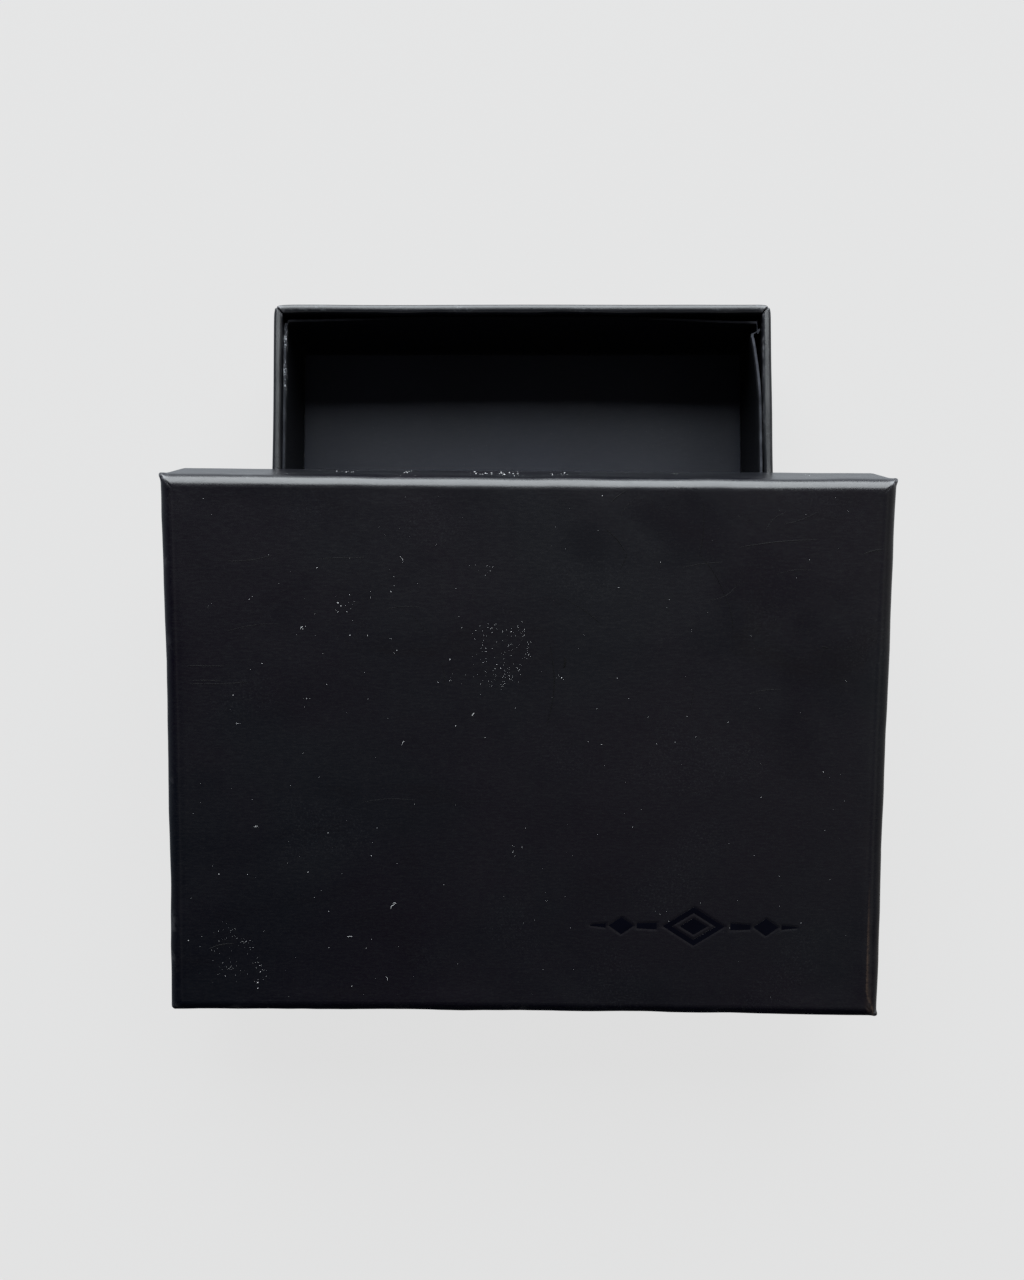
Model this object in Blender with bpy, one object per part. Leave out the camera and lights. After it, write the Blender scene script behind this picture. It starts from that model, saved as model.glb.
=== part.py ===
"""Two-part rigid gift box for jewellery: an open tray, and its deep lid laid crosswise on it.

Both halves are built the same way. A scored greyboard blank is folded up, paper stays join its
corners, and a sheet of black paper is wrapped round it and turned in over the rim. The lid leans on
the tray: its top rests on the near rim, and its far wall rests across the two long rims.

The origin is the centre of the tray's underside. X runs along the tray's short side, Y along its
long side, away from the lid's low edge, and Z is up. Lengths are in metres.
"""

import math

import bmesh
import bpy
from mathutils import Matrix

# Outer sizes
BASE_WIDTH = 0.090
BASE_LENGTH = 0.120
BASE_HEIGHT = 0.031
LID_WIDTH = 0.094
LID_LENGTH = 0.124
LID_HEIGHT = 0.0213

# Layers of a wall, from outside in, with the glue line between two layers
PAPER = 0.00014
TAPE = 0.00012
BOARD = 0.0008
CARD = 0.00045
FLOOR_CARD = 0.0005
GLUE = 0.00012

# Depths of the layers' faces below the outer surface
TAPE_FACE = PAPER + GLUE
WALL_BOARD = TAPE_FACE + TAPE + GLUE
WALL_BOARD_IN = WALL_BOARD + BOARD
TURN_IN_FACE = WALL_BOARD_IN + GLUE
WALL = TURN_IN_FACE + PAPER
LINER_FACE = WALL + GLUE
PLATE_BOARD = PAPER + GLUE
PLATE_BOARD_IN = PLATE_BOARD + BOARD
PLATE_LINER = PLATE_BOARD_IN + GLUE

# Shaping of the wrapped board
CORNER = 0.0008
TIGHTEST_CORNER = 0.00015
BASE_FOLD = 0.0012
LID_FOLD = 0.0020
RIM_ROUND = 0.0005
BOARD_EDGE_ROUND = 0.00012
BOARD_TOP = 0.00036
SEAM = 0.0002
SEAM_CUT = 0.004
CORNER_STEPS = 3
SIDE_STEPS = 5
FOLD_STEPS = 5
RIM_STEPS = 3

# How far the lid's walls are drawn in between their corners, at the fold and at the rim
LID_BOW_FOLD = 0.00035
LID_BOW_RIM = 0.0001

# Paper that is turned in, stays and liners
BASE_TURN_IN = 0.015
LID_TURN_IN = 0.011
STAY_LEG = 0.012
STAY_MARGIN = 0.0006
LINER_BELOW_RIM = 0.0022
FLOOR_CARD_MARGIN = 0.0005
LID_LINER_BELOW_RIM = 0.004

# How the lid lies on the tray
REST_GAP = 0.0003
CATCH_CLEARANCE = 0.0006
LID_SHIFT = 0.0003
LID_YAW = math.radians(-0.45)


def clear_scene():
    for obj in list(bpy.data.objects):
        bpy.data.objects.remove(obj)


def material(name, colour, roughness):
    made = bpy.data.materials.new(name)
    made.use_nodes = True
    shader = made.node_tree.nodes["Principled BSDF"]
    shader.inputs["Base Color"].default_value = (*colour, 1.0)
    shader.inputs["Roughness"].default_value = roughness
    shader.inputs["Metallic"].default_value = 0.0
    return made


def arc(centre, radii, start, end, steps):
    """(depth, height) points of an elliptic arc, both ends included. Angles are in degrees."""
    points = []
    for step in range(steps + 1):
        angle = math.radians(start + (end - start) * step / steps)
        depth = centre[0] + radii[0] * math.cos(angle)
        height = centre[1] + radii[1] * math.sin(angle)
        points.append((depth, height))
    return points


def ring(width, length, depth, height):
    """One loop round the box, anticlockwise from above, at a depth inside the outer surface."""
    half_x = width / 2 - depth
    half_y = length / 2 - depth
    radius = max(CORNER - depth, TIGHTEST_CORNER)
    corners = []
    for sign_x, sign_y, start in ((1, 1, 0), (-1, 1, 90), (-1, -1, 180), (1, -1, 270)):
        centre = (sign_x * (half_x - radius), sign_y * (half_y - radius))
        corners.append(arc(centre, (radius, radius), start, start + 90, CORNER_STEPS))
    points = []
    for here, after in zip(corners, corners[1:] + corners[:1]):
        points += here
        (x0, y0), (x1, y1) = here[-1], after[0]
        for step in range(1, SIDE_STEPS):
            share = step / SIDE_STEPS
            points.append((x0 + (x1 - x0) * share, y0 + (y1 - y0) * share))
    return [(x, y, height) for x, y in points]


def bowed(point, width, length, tall, bow_fold, bow_rim):
    """The point moved as the walls are drawn in, most at the middle of each side."""
    x, y, z = point
    bow = bow_fold + (bow_rim - bow_fold) * z / tall
    u, v = 2 * x / width, 2 * y / length
    return (x - bow * u * (1 - v * v), y - bow * v * (1 - u * u), z)


def body(name, rings, finish, closed_band=False):
    """A closed solid skinned over successive rings. A band has no end caps and joins end to start."""
    shape = bmesh.new()
    loops = [[shape.verts.new(point) for point in points] for points in rings]
    count = len(loops[0])
    pairs = list(zip(loops, loops[1:]))
    if closed_band:
        pairs.append((loops[-1], loops[0]))
    else:
        shape.faces.new(list(reversed(loops[0])))
        shape.faces.new(loops[-1])
    for first, second in pairs:
        for i in range(count):
            j = (i + 1) % count
            shape.faces.new((first[i], first[j], second[j], second[i]))
    return placed(name, shape, finish)


def placed(name, shape, finish):
    mesh = bpy.data.meshes.new(name)
    shape.to_mesh(mesh)
    shape.free()
    mesh.materials.append(finish)
    mesh.shade_smooth()
    mesh.set_sharp_from_angle(angle=math.radians(35))
    obj = bpy.data.objects.new(name, mesh)
    bpy.context.scene.collection.objects.link(obj)
    return obj


class Half:
    """One half of the box, open side up, with its outer plate on Z = 0."""

    def __init__(self, name, width, length, tall, fold, bow_fold=0.0, bow_rim=0.0):
        self.name = name
        self.width = width
        self.length = length
        self.tall = tall
        self.fold = fold
        self.bow_fold = bow_fold
        self.bow_rim = bow_rim

    def bow(self, point):
        return bowed(point, self.width, self.length, self.tall, self.bow_fold, self.bow_rim)

    def rings(self, profile):
        made = [ring(self.width, self.length, depth, height) for depth, height in profile]
        return [[self.bow(point) for point in points] for points in made]

    def wrap(self, turn_in, finish):
        """Black paper under the plate, up the walls, over the rim and down inside."""
        fold, top = self.fold, self.tall
        round_in = RIM_ROUND - PAPER
        outer, inner = (RIM_ROUND, top - RIM_ROUND), (WALL - RIM_ROUND, top - RIM_ROUND)
        profile = arc((fold, fold), (fold, fold), -90, -180, FOLD_STEPS)
        profile += arc(outer, (RIM_ROUND, RIM_ROUND), 180, 90, RIM_STEPS)
        profile += arc(inner, (RIM_ROUND, RIM_ROUND), 90, 0, RIM_STEPS)
        profile += [(WALL, top - turn_in), (TURN_IN_FACE, top - turn_in)]
        profile += arc(inner, (round_in, round_in), 0, 90, RIM_STEPS)
        profile += arc(outer, (round_in, round_in), 90, 180, RIM_STEPS)
        profile += arc((fold, fold), (fold - PAPER, fold - PAPER), -180, -90, FOLD_STEPS)
        return body(self.name + "_wrap", self.rings(profile), finish)

    def board(self, finish):
        """The greyboard blank folded up, its walls meeting in an open seam at each corner."""
        fold, top = self.fold, self.tall - BOARD_TOP
        edge = BOARD_EDGE_ROUND
        radii = (fold - WALL_BOARD, fold - PLATE_BOARD)
        profile = arc((fold, fold), radii, -90, -180, FOLD_STEPS)
        profile += [(WALL_BOARD, top - edge), (WALL_BOARD + edge, top)]
        profile += [(WALL_BOARD_IN - edge, top), (WALL_BOARD_IN, top - edge)]
        profile += [(WALL_BOARD_IN, PLATE_BOARD_IN)]
        obj = body(self.name + "_board", self.rings(profile), finish)
        cut = obj.modifiers.new("corner seams", "BOOLEAN")
        cut.operation = "DIFFERENCE"
        cut.solver = "EXACT"
        cut.object = self.seam_cutter()
        return obj

    def seam_cutter(self):
        """Four thin upright plates across the corners, from just above the board's plate."""
        shape = bmesh.new()
        low = PLATE_BOARD_IN + GLUE
        for sign_x in (1, -1):
            for sign_y in (1, -1):
                x = sign_x * (self.width / 2 - WALL_BOARD_IN)
                y = sign_y * (self.length / 2 - WALL_BOARD_IN)
                size = Matrix.Diagonal((SEAM_CUT, SEAM, self.tall, 1))
                turn = Matrix.Rotation(math.radians(45 * sign_x * sign_y), 4, "Z")
                place = Matrix.Translation((x, y, low + self.tall / 2))
                bmesh.ops.create_cube(shape, size=1.0, matrix=place @ turn @ size)
        mesh = bpy.data.meshes.new(self.name + "_seam_cutter")
        shape.to_mesh(mesh)
        shape.free()
        obj = bpy.data.objects.new(mesh.name, mesh)
        obj.hide_render = True
        obj.display_type = "WIRE"
        bpy.context.scene.collection.objects.link(obj)
        return obj

    def stay(self, number, sign_x, sign_y, finish):
        """A gummed paper tape bent round one upright corner of the board."""
        reach_x = self.width / 2 - CORNER
        reach_y = self.length / 2 - CORNER
        low = self.fold + STAY_MARGIN
        high = self.tall - BOARD_TOP - STAY_MARGIN
        outline = []
        for depth, reverse in ((TAPE_FACE, False), (TAPE_FACE + TAPE, True)):
            radius = CORNER - depth
            bend = arc((reach_x, reach_y), (radius, radius), 0, 90, CORNER_STEPS)
            side = [(reach_x + radius, reach_y - STAY_LEG)] + bend
            side += [(reach_x - STAY_LEG, reach_y + radius)]
            outline += side[::-1] if reverse else side
        outline = [(sign_x * x, sign_y * y) for x, y in outline]
        if sign_x * sign_y < 0:
            outline.reverse()
        rings = [[self.bow((x, y, z)) for x, y in outline] for z in (low, high)]
        return body(f"{self.name}_corner_stay_{number}", rings, finish)

    def stays(self, finish):
        corners = ((-1, -1), (1, -1), (1, 1), (-1, 1))
        return [self.stay(n, x, y, finish) for n, (x, y) in enumerate(corners, 1)]


def base_liners(base, finish):
    """The card band that lines the tray's walls, and the loose card panel on its floor."""
    top = base.tall - LINER_BELOW_RIM
    inside = LINER_FACE + CARD
    band = [(LINER_FACE, PLATE_LINER), (LINER_FACE, top), (inside, top), (inside, PLATE_LINER)]
    body("base_wall_liner", base.rings(band), finish, closed_band=True)
    margin = inside + FLOOR_CARD_MARGIN
    panel = [(margin, PLATE_LINER), (margin, PLATE_LINER + FLOOR_CARD)]
    body("base_floor_liner", base.rings(panel), finish)


def lid_liner(lid, finish):
    """A paper sheet over the inside of the lid's plate, its flaps pasted up the walls."""
    top = lid.tall - LID_LINER_BELOW_RIM
    inside = LINER_FACE + PAPER
    profile = [(LINER_FACE, PLATE_LINER), (LINER_FACE, top), (inside, top)]
    profile += [(inside, PLATE_LINER + PAPER)]
    return body("lid_liner", lid.rings(profile), finish)


def lid_rest(lid):
    """The lid's place: turned over, tilted until it touches both rims, and pushed back to its stop.

    With depth d, reach r and slope t, its near wall meets the tray when r * t = d * (1 + t * t).
    """
    depth = lid.tall - PLATE_LINER - PAPER
    reach = lid.length - 2 * WALL - CATCH_CLEARANCE
    slope = (reach - math.sqrt(reach * reach - 4 * depth * depth)) / (2 * depth)
    contact_y = lid.length / 2 - WALL - CATCH_CLEARANCE - depth * slope
    contact = Matrix.Translation((0.0, -contact_y, -(lid.tall - depth)))
    over = Matrix.Rotation(math.pi, 4, "X")
    tilt = Matrix.Rotation(math.atan(slope), 4, "X")
    yaw = Matrix.Rotation(LID_YAW, 4, "Z")
    place = Matrix.Translation((LID_SHIFT, -BASE_LENGTH / 2, BASE_HEIGHT + REST_GAP))
    empty = bpy.data.objects.new("lid_rest", None)
    empty.matrix_world = place @ yaw @ tilt @ over @ contact
    bpy.context.scene.collection.objects.link(empty)
    return empty


def main():
    clear_scene()
    wrap_paper = material("wrap_paper", (0.011, 0.011, 0.014), 0.42)
    liner_paper = material("liner_paper", (0.012, 0.012, 0.015), 0.5)
    liner_card = material("liner_card", (0.016, 0.018, 0.026), 0.55)
    greyboard = material("greyboard", (0.30, 0.28, 0.25), 0.9)
    gummed_tape = material("gummed_tape", (0.50, 0.38, 0.24), 0.7)

    base = Half("base", BASE_WIDTH, BASE_LENGTH, BASE_HEIGHT, BASE_FOLD)
    base.wrap(BASE_TURN_IN, wrap_paper)
    base.board(greyboard)
    base.stays(gummed_tape)
    base_liners(base, liner_card)

    lid = Half("lid", LID_LENGTH, LID_WIDTH, LID_HEIGHT, LID_FOLD, LID_BOW_FOLD, LID_BOW_RIM)
    pieces = [lid.wrap(LID_TURN_IN, wrap_paper), lid.board(greyboard), *lid.stays(gummed_tape)]
    pieces += [lid_liner(lid, liner_paper), bpy.data.objects["lid_seam_cutter"]]
    rest = lid_rest(lid)
    for obj in pieces:
        obj.parent = rest


main()
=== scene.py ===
"""Looks of the two-part jewellery gift box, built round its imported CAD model.

The wrap papers, liners and floor card are remade as dense closed sheets with their folds, mitred
corners, turned-in rims, raw edges and dents. The greyboard and the corner stays keep their CAD
meshes and get fibre materials. Each half is made in its own frame, open side up with its outer
plate on Z = 0, as in the CAD source. The box's lengths are in millimetres, the room's in metres.
"""

import math
import random

import bmesh
import bpy
import numpy as np
from mathutils import Matrix, Vector, noise


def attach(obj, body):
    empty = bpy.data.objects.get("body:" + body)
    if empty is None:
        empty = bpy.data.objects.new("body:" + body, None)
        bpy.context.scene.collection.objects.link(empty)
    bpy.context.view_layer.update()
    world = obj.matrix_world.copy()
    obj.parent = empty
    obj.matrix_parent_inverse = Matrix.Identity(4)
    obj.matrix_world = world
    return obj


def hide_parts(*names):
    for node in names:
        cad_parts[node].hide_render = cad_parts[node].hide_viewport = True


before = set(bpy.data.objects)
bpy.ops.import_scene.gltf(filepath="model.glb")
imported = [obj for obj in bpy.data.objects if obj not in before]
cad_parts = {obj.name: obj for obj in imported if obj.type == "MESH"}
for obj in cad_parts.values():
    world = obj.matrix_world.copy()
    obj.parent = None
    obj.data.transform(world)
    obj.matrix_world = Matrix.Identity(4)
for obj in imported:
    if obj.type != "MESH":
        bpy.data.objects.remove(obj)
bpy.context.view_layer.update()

MM = 0.001

# Outer sizes of the tray and, lying crosswise, of the lid
BASE_WIDTH = 90.0
BASE_LENGTH = 120.0
BASE_HEIGHT = 31.0
LID_WIDTH = 124.0
LID_LENGTH = 94.0
LID_HEIGHT = 21.3

# Sheets and glue lines, and the layers that they make of a wall and a plate, as in the CAD model
PAPER = 0.14
TAPE = 0.12
BOARD = 0.8
CARD = 0.45
FLOOR_CARD = 0.5
GLUE = 0.12
TURN_IN_FACE = PAPER + GLUE + TAPE + GLUE + BOARD + GLUE
WALL = TURN_IN_FACE + PAPER
LINER_FACE = WALL + GLUE
PLATE_LINER = PAPER + GLUE + BOARD + GLUE

# Rounded corners, folds and rims, and where the turned-in and pasted sheets end
CORNER = 0.8
BASE_FOLD = 1.2
LID_FOLD = 2.0
RIM_OUTER = 0.6
RIM_INNER = (0.7, 0.62)
BASE_TURN_IN = 15
LID_TURN_IN = 11
LINER_BELOW_RIM = 2.2
FLOOR_CARD_MARGIN = 0.12
LID_LINER_BELOW_RIM = 4
LID_BOW_FOLD = 0.35
LID_BOW_RIM = 0.1

# How the lid lies on the tray
REST_GAP = 0.3
CATCH_CLEARANCE = 0.6
LID_SHIFT = 0.3
LID_YAW = math.radians(-0.45)

# Mesh density
FINE_STEP = 0.10
WIDE_STEP = 1.7
STEP_GROWTH = 0.28
CORNER_STEPS = 8
WELD = 0.0002

# How much the cut edges of the cards are eased
EASE = 0.06

# How far the corner tabs of the wrap papers reach along the walls they are glued to
TRAY_TAB = 12.0
LID_TAB = 11.0

# A knock on the lid's left fold
NICK_Y = 37.9

# A wavelength so long that noise hardly changes along its axis
STILL = 1000.0

# The foil ornament on the lid's plate
ORNAMENT_X = 29.5
ORNAMENT_Y = 30.8
RECESS = 0.07
FOIL = 0.03


def smooth(value, low, high):
    """0 below low, 1 above high, and a smooth rise between them."""
    share = np.clip((value - low) / (high - low), 0.0, 1.0)
    return share * share * (3 - 2 * share)


def bell(value, centre, width):
    """1 at the centre, fading to nothing over about twice the width."""
    return np.exp(-(((value - centre) / width) ** 2))


def waves(points, size, seed):
    """Smooth noise from -1 to 1 at each point. Size is the wavelength, one number or one per axis."""
    scaled = points / np.array(size) + seed * 7.31
    return np.array([noise.noise(Vector(p)) for p in scaled]) * 2.0


def grid_lines(half, dense=()):
    """Positions from -half to half, closest near the ends and inside each (low, high, step)."""
    samples = 8001
    places = np.linspace(-half, half, samples)
    step = np.clip(FINE_STEP + STEP_GROWTH * (half - np.abs(places)), FINE_STEP, WIDE_STEP)
    for low, high, fine in dense:
        inside = (places > low) & (places < high)
        step[inside] = np.minimum(step[inside], fine)
    total = np.concatenate([[0.0], np.cumsum(0.5 * (1 / step[1:] + 1 / step[:-1]))])
    total *= places[1] - places[0]
    count = int(math.ceil(total[-1]))
    lines = np.interp(np.linspace(0, total[-1], count + 1), total, places)
    lines[0], lines[-1] = -half, half
    return lines


def around(place, reach, step):
    """A stretch of grid_lines that is to be dense."""
    return (place - reach, place + reach, step)


def arc(centre, radii, start, end, steps):
    """(depth, height) points of an elliptic arc, both ends included. Angles are in degrees."""
    angles = np.radians(np.linspace(start, end, steps + 1))
    return [(centre[0] + radii[0] * math.cos(a), centre[1] + radii[1] * math.sin(a)) for a in angles]


def run(depth, low, high, steps):
    """(depth, height) points up or down a wall, without its two ends."""
    return [(depth, low + (high - low) * k / steps) for k in range(1, steps)]


def parts(raw, width, length):
    """Each point's x, y and z, and how far it is inside the nearest side and end."""
    x, y, z = raw.T
    return x, y, z, width / 2 - np.abs(x), length / 2 - np.abs(y)


def mitre(to_side, to_end, width):
    """1 on the upright plane across each corner, falling to 0 at the given distance from it."""
    return 1 - smooth(np.abs(to_side - to_end) / math.sqrt(2), 0.0, width)


def paints(**values):
    """A value for each point under each label, held between 0 and 1."""
    return {label: np.clip(value, 0, 1) for label, value in values.items()}


def placed(name, data):
    """A new object of the scene that shows the data."""
    obj = bpy.data.objects.new(name, data)
    bpy.context.scene.collection.objects.link(obj)
    return obj


class Mesh:
    """Points and faces collected before they become one object."""

    def __init__(self):
        self.points = []
        self.faces = []
        self.count = 0

    def add(self, points):
        start = self.count
        self.points.append(np.asarray(points, float))
        self.count += len(points)
        return start

    def skin(self, first, second, size):
        """Quads between two loops of the same size, given by their first points."""
        for i in range(size):
            j = (i + 1) % size
            self.faces.append((first + i, first + j, second + j, second + i))

    def grid(self, points, across, flip=False):
        """A sheet of rows, each of the given number of points."""
        start = self.add(points)
        for row in range(len(points) // across - 1):
            for i in range(across - 1):
                a = start + row * across + i
                quad = (a, a + 1, a + across + 1, a + across)
                self.faces.append(quad[::-1] if flip else quad)

    def cap(self, first, size, flip=False):
        face = tuple(range(first, first + size))
        self.faces.append(face[::-1] if flip else face)

    def tube(self, path, radius, sides=6):
        """A closed thread along a path, thinning to both ends."""
        path = [Vector(p) for p in path]
        starts = []
        for k, here in enumerate(path):
            ahead = path[min(k + 1, len(path) - 1)] - path[max(k - 1, 0)]
            across = ahead.cross(Vector((0, 0, 1))).normalized()
            up = ahead.cross(across).normalized()
            share = k / (len(path) - 1)
            thick = radius * (0.35 + 0.65 * math.sin(math.pi * share) ** 0.5)
            turns = [math.tau * i / sides for i in range(sides)]
            ring = [here + (across * math.cos(a) + up * math.sin(a)) * thick for a in turns]
            starts.append(self.add([tuple(p) for p in ring]))
        for first, second in zip(starts, starts[1:]):
            self.skin(first, second, sides)
        self.cap(starts[0], sides, flip=True)
        self.cap(starts[-1], sides)

    def object(self, name, material, shape=None, paint=None, sharp=40, place=None):
        """The finished object. shape moves the welded points, and paint names a value for each."""
        data = bpy.data.meshes.new(name)
        points = np.concatenate(self.points) * MM
        data.from_pydata(points.tolist(), [], self.faces)
        work = bmesh.new()
        work.from_mesh(data)
        bmesh.ops.remove_doubles(work, verts=work.verts, dist=WELD * MM)
        bmesh.ops.recalc_face_normals(work, faces=work.faces)
        work.to_mesh(data)
        work.free()
        raw = np.empty(len(data.vertices) * 3, np.float32)
        data.vertices.foreach_get("co", raw)
        raw = raw.reshape(-1, 3).astype(float) / MM
        if paint:
            for label, values in paint(raw).items():
                layer = data.attributes.new(label, "FLOAT", "POINT")
                layer.data.foreach_set("value", values.astype(np.float32))
        if shape:
            data.vertices.foreach_set("co", (shape(raw) * MM).astype(np.float32).ravel())
        data.update()
        data.materials.append(material)
        data.shade_smooth()
        data.set_sharp_from_angle(angle=math.radians(sharp))
        obj = placed(name, data)
        if place is not None:
            obj.matrix_world = place
        return obj


class Half:
    """One half of the box, open side up, with its outer plate on Z = 0."""

    def __init__(self, width, length, tall, fold, dense_x=(), dense_y=()):
        self.width = width
        self.length = length
        self.tall = tall
        self.fold = fold
        self.lines_x = grid_lines(width / 2 - fold, dense_x)
        self.lines_y = grid_lines(length / 2 - fold, dense_y)

    def loop(self, depth, height, corner=CORNER):
        """One loop round the box at a depth inside its outer surface, on the plate's grid lines."""
        half_x, half_y = self.width / 2 - depth, self.length / 2 - depth
        radius = max(corner - depth, 0.0)
        along_x = self.lines_x / self.lines_x[-1] * (half_x - radius)
        along_y = self.lines_y / self.lines_y[-1] * (half_y - radius)
        turn = np.linspace(0, math.pi / 2, CORNER_STEPS + 1)[1:-1]
        sides = (
            (along_x, np.full_like(along_x, -half_y), 1, -1, -math.pi / 2),
            (np.full_like(along_y, half_x), along_y, 1, 1, 0.0),
            (-along_x, np.full_like(along_x, half_y), -1, 1, math.pi / 2),
            (np.full_like(along_y, -half_x), -along_y, -1, -1, math.pi),
        )
        made = []
        for xs, ys, sign_x, sign_y, start in sides:
            made.append(np.column_stack([xs, ys]))
            centre = (sign_x * (half_x - radius), sign_y * (half_y - radius))
            bend = np.column_stack([np.cos(start + turn), np.sin(start + turn)])
            made.append(bend * radius + centre)
        flat = np.concatenate(made)
        return np.column_stack([flat, np.full(len(flat), height)])

    def plate(self, depth, height):
        """The grid of a flat plate whose border is the loop at that depth and height."""
        xs = self.lines_x / self.lines_x[-1] * (self.width / 2 - depth)
        ys = self.lines_y / self.lines_y[-1] * (self.length / 2 - depth)
        xs, ys = np.meshgrid(xs, ys)
        return np.column_stack([xs.ravel(), ys.ravel(), np.full(xs.size, height)])

    def sheet(self, profile, outer_grid=False, inner_grid=False, band=False, corner=CORNER):
        """A closed skin over the loops of a (depth, height) profile, with a plate at each end."""
        mesh = Mesh()
        loops = [mesh.add(self.loop(depth, height, corner)) for depth, height in profile]
        size = 2 * (len(self.lines_x) + len(self.lines_y)) + 4 * (CORNER_STEPS - 1)
        for first, second in zip(loops, loops[1:]):
            mesh.skin(first, second, size)
        if band:
            mesh.skin(loops[-1], loops[0], size)
            return mesh
        for end, gridded, flip in ((0, outer_grid, True), (-1, inner_grid, False)):
            if gridded:
                mesh.grid(self.plate(*profile[end]), len(self.lines_x), flip)
            else:
                mesh.cap(loops[end], size, flip)
        return mesh

    def wrap(self, turn_in):
        """Paper under the plate, up the walls, over the rim and down inside, and back beneath."""
        fold, top = self.fold, self.tall
        across, down = RIM_INNER
        outer, inner = (RIM_OUTER, top - RIM_OUTER), (WALL - across, top - down)
        profile = arc((fold, fold), (fold, fold), -90, -180, 10)
        profile += run(0.0, fold, top - RIM_OUTER, 9)
        profile += arc(outer, (RIM_OUTER, RIM_OUTER), 180, 90, 5)
        profile += arc(inner, (across, down), 90, 0, 7)
        profile += run(WALL, top - down, top - turn_in, 7)
        profile += [(WALL, top - turn_in), (TURN_IN_FACE, top - turn_in)]
        profile += arc(inner, (across - PAPER, down - PAPER), 0, 90, 5)
        profile += arc(outer, (RIM_OUTER - PAPER, RIM_OUTER - PAPER), 90, 180, 4)
        profile += run(PAPER, top - RIM_OUTER, fold, 3)
        profile += arc((fold, fold), (fold - PAPER, fold - PAPER), -180, -90, 5)
        return self.sheet(profile, outer_grid=True, inner_grid=True)


class Nodes:
    """Short-hands for building a node tree."""

    def __init__(self, tree, space):
        self.tree = tree
        self.place = self.node("ShaderNodeTexCoord").outputs[space]

    def node(self, kind, **settings):
        made = self.tree.nodes.new(kind)
        for key, value in settings.items():
            setattr(made, key, value)
        return made

    def link(self, source, target):
        self.tree.links.new(source, target)

    def stretched(self, scale, turn=0.0):
        made = self.node("ShaderNodeMapping")
        made.inputs["Scale"].default_value = scale
        made.inputs["Rotation"].default_value = (0, 0, math.radians(turn))
        self.link(self.place, made.inputs["Vector"])
        return made.outputs["Vector"]

    def noise(self, scale, detail=3.0, roughness=0.55, turn=0.0, distortion=0.0):
        """A noise value. Scale is in waves per metre, one number or one per axis."""
        if not isinstance(scale, tuple):
            scale = (scale, scale, scale)
        made = self.node("ShaderNodeTexNoise")
        settings = {"Scale": 1.0, "Detail": detail, "Roughness": roughness, "Distortion": distortion}
        for socket, number in settings.items():
            made.inputs[socket].default_value = number
        self.link(self.stretched(scale, turn), made.inputs["Vector"])
        return made.outputs["Fac"]

    def spots(self, scale):
        made = self.node("ShaderNodeTexVoronoi", feature="F1")
        made.inputs["Scale"].default_value = 1.0
        self.link(self.stretched((scale, scale, scale)), made.inputs["Vector"])
        return made.outputs["Distance"]

    def attribute(self, name):
        return self.node("ShaderNodeAttribute", attribute_name=name).outputs["Fac"]

    def span(self, value, low, high, to_low=0.0, to_high=1.0):
        """The value's range low to high moved to another range, and held at its ends."""
        made = self.node("ShaderNodeMapRange", clamp=True, interpolation_type="SMOOTHSTEP")
        for socket, number in zip(made.inputs[1:5], (low, high, to_low, to_high)):
            socket.default_value = number
        self.link(value, made.inputs[0])
        return made.outputs[0]

    def put(self, value, socket):
        """Links a node's output to the socket, or sets a plain number or colour on it."""
        if isinstance(value, float):
            socket.default_value = value
        elif isinstance(value, tuple):
            socket.default_value = (*value, 1.0)
        else:
            self.link(value, socket)

    def maths(self, operation, first, second):
        made = self.node("ShaderNodeMath", operation=operation)
        self.put(first, made.inputs[0])
        self.put(second, made.inputs[1])
        return made.outputs[0]

    def times(self, first, second):
        return self.maths("MULTIPLY", first, second)

    def mix(self, share, first, second):
        made = self.node("ShaderNodeMix", data_type="RGBA")
        for value, place in ((share, 0), (first, 6), (second, 7)):
            self.put(value, made.inputs[place])
        return made.outputs[2]


class Look(Nodes):
    """A Principled material with procedural nodes on the object's own coordinates."""

    def __init__(self, name, gloss):
        self.material = bpy.data.materials.new(name)
        self.material.use_nodes = True
        super().__init__(self.material.node_tree, "Object")
        self.shader = self.tree.nodes["Principled BSDF"]
        self.shader.inputs["Specular IOR Level"].default_value = gloss
        self.colour = None

    def coat(self, share, tone):
        """Lays a tone over the colour so far, as much as the share says."""
        self.colour = self.mix(share, self.colour, tone)

    def finish(self, roughness, heights):
        """The material, with its roughness, and each (value, depth in metres) of its relief."""
        self.link(self.colour, self.shader.inputs["Base Color"])
        self.link(roughness, self.shader.inputs["Roughness"])
        target = self.shader.inputs["Normal"]
        for value, depth in reversed(heights):
            made = self.node("ShaderNodeBump")
            made.inputs["Strength"].default_value = 1.0
            made.inputs["Distance"].default_value = depth
            self.link(value, made.inputs["Height"])
            self.link(made.outputs["Normal"], target)
            target = made.inputs["Normal"]
        return self.material


# Tones of the black paper and card where something has happened to them; the pale dust tone is also laid on
# the tray's rims as painted sheen
PAPER_FELT = (0.0048, 0.0046, 0.0060)
PAPER_SCRATCHED = (0.03, 0.03, 0.034)
PAPER_WORN = (0.20, 0.20, 0.215)
PAPER_RUBBED = (0.050, 0.033, 0.024)
PAPER_DUST_AND_SHEEN = (0.42, 0.45, 0.48)
CARD_TORN = (0.55, 0.56, 0.60)
CARD_DUST = (0.3, 0.31, 0.33)


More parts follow.
